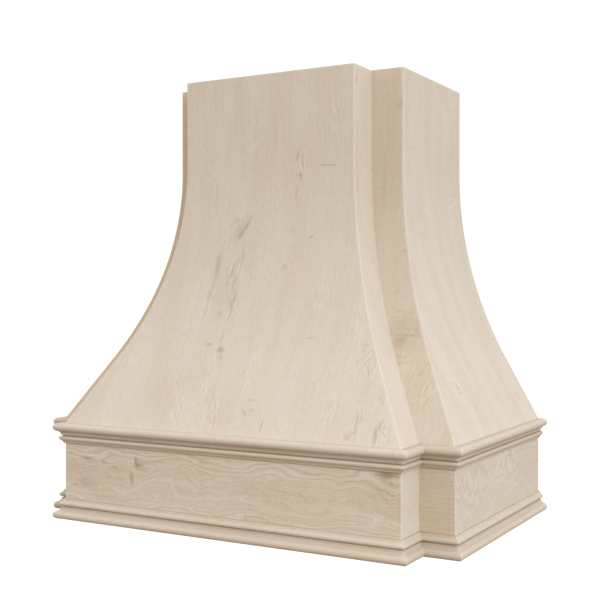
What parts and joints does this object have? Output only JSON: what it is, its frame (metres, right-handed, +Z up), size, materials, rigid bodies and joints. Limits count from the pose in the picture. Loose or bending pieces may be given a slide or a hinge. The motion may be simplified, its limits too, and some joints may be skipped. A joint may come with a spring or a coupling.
{
  "type": "wooden range hood cover",
  "caption": "Wall-hung wooden range hood cover: a flared body with a projecting centre section stands on a box apron edged with mouldings, open below and above for a vent insert and its duct.",
  "frame": {"origin": "on the wall plane, at the middle of the width, at the bottom edge of the cover (bottom of the lower hanging rail's back face)", "axes": "+Z up, +Y into the wall, +X towards the right-hand side seen from the front"},
  "size_m": [0.935, 0.586, 0.9144],
  "materials": {
    "body_veneer": "sanded unfinished hardwood veneer on bending plywood, matt",
    "solid_wood": "sanded unfinished solid hardwood, matt",
    "plywood": "plain plywood, unfinished",
    "screw_steel": "zinc plated wood screws"
  },
  "bodies": {
    "root": {"apron_corner_blocks": "plywood", "belt_back_rail": "plywood", "belt_cross_rail": "plywood", "belt_frame_screws": "screw_steel", "belt_front_rail": "plywood", "body_corner_blocks": "plywood", "front_apron_board": "solid_wood", "front_lower_moulding": "solid_wood", "front_panel": "body_veneer", "front_upper_moulding": "solid_wood", "left_belt_side_rail": "plywood", "left_fore_side_rib": "plywood", "left_front_rib": "plywood", "left_liner_side_rail": "plywood", "left_middle_side_rib": "plywood", "left_rear_side_rib": "plywood", "left_return_apron_board": "solid_wood", "left_return_lower_moulding": "solid_wood", "left_return_panel": "body_veneer", "left_return_upper_moulding": "solid_wood", "left_side_apron_board": "solid_wood", "left_side_lower_moulding": "solid_wood", "left_side_panel": "body_veneer", "left_side_upper_moulding": "solid_wood", "left_strip_apron_board": "solid_wood", "left_strip_lower_moulding": "solid_wood", "left_strip_panel": "body_veneer", "left_strip_upper_moulding": "solid_wood", "left_top_side_rail": "plywood", "liner_back_rail": "plywood", "liner_cross_rail": "plywood", "liner_front_rail": "plywood", "lower_hanging_rail": "plywood", "middle_front_rib": "plywood", "right_belt_side_rail": "plywood", "right_fore_side_rib": "plywood", "right_front_rib": "plywood", "right_liner_side_rail": "plywood", "right_middle_side_rib": "plywood", "right_rear_side_rib": "plywood", "right_return_apron_board": "solid_wood", "right_return_lower_moulding": "solid_wood", "right_return_panel": "body_veneer", "right_return_upper_moulding": "solid_wood", "right_side_apron_board": "solid_wood", "right_side_lower_moulding": "solid_wood", "right_side_panel": "body_veneer", "right_side_upper_moulding": "solid_wood", "right_strip_apron_board": "solid_wood", "right_strip_lower_moulding": "solid_wood", "right_strip_panel": "body_veneer", "right_strip_upper_moulding": "solid_wood", "right_top_side_rail": "plywood", "top_frame_screws": "screw_steel", "top_front_rail": "plywood", "upper_hanging_rail": "plywood"}
  },
  "joints": []
}
